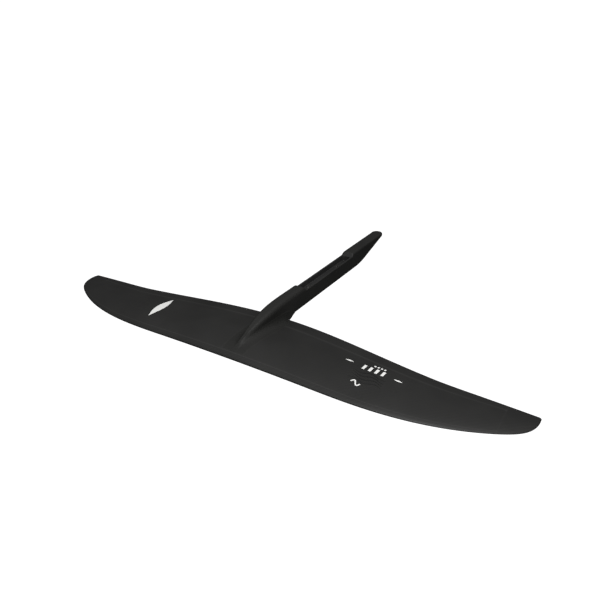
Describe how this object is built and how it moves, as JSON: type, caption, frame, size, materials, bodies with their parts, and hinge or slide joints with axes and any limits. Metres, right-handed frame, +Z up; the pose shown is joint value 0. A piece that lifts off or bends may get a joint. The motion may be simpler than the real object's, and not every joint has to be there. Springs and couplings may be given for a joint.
{
  "type": "hydrofoil front wing",
  "caption": "Drooped high-aspect hydrofoil wing with a forward fuselage moulded on top, a slotted seat for a mast and a bevelled tail for the rear fuselage.",
  "frame": {"origin": "middle of the mast seat's floor, half way between the two mast bolts", "axes": "+X to port along the span, +Y aft along the fuselage, +Z up towards the mast"},
  "size_m": [0.9, 0.551, 0.0572],
  "materials": {
    "wing_laminate": "satin black carbon laminate, faint weave under a matt clear coat",
    "fuselage_laminate": "satin black carbon laminate",
    "seat_laminate": "machined solid carbon laminate",
    "spar_laminate": "bare unidirectional carbon laminate",
    "foam": "closed-cell structural foam",
    "stainless": "turned stainless steel"
  },
  "bodies": {
    "root": {"fuselage_lower_shell": "fuselage_laminate", "leading_edge_bead": "wing_laminate", "lower_spar_cap": "spar_laminate", "mast_bolt_sleeves": "stainless", "mast_seat_base": "seat_laminate", "mast_seat_end_blocks": "seat_laminate", "mast_seat_rails": "seat_laminate", "nose_core": "foam", "nose_fairing": "fuselage_laminate", "port_front_core": "foam", "port_rear_core": "foam", "port_tip_block": "wing_laminate", "root_blocks": "spar_laminate", "root_fillets": "fuselage_laminate", "seat_side_walls": "fuselage_laminate", "spar_web": "spar_laminate", "starboard_front_core": "foam", "starboard_rear_core": "foam", "starboard_tip_block": "wing_laminate", "tail_core": "spar_laminate", "tail_thread_inserts": "stainless", "tail_upper_shell": "fuselage_laminate", "trailing_edge_strip": "wing_laminate", "upper_spar_cap": "spar_laminate", "wing_lower_skin": "wing_laminate", "wing_upper_skin": "wing_laminate"}
  },
  "joints": []
}
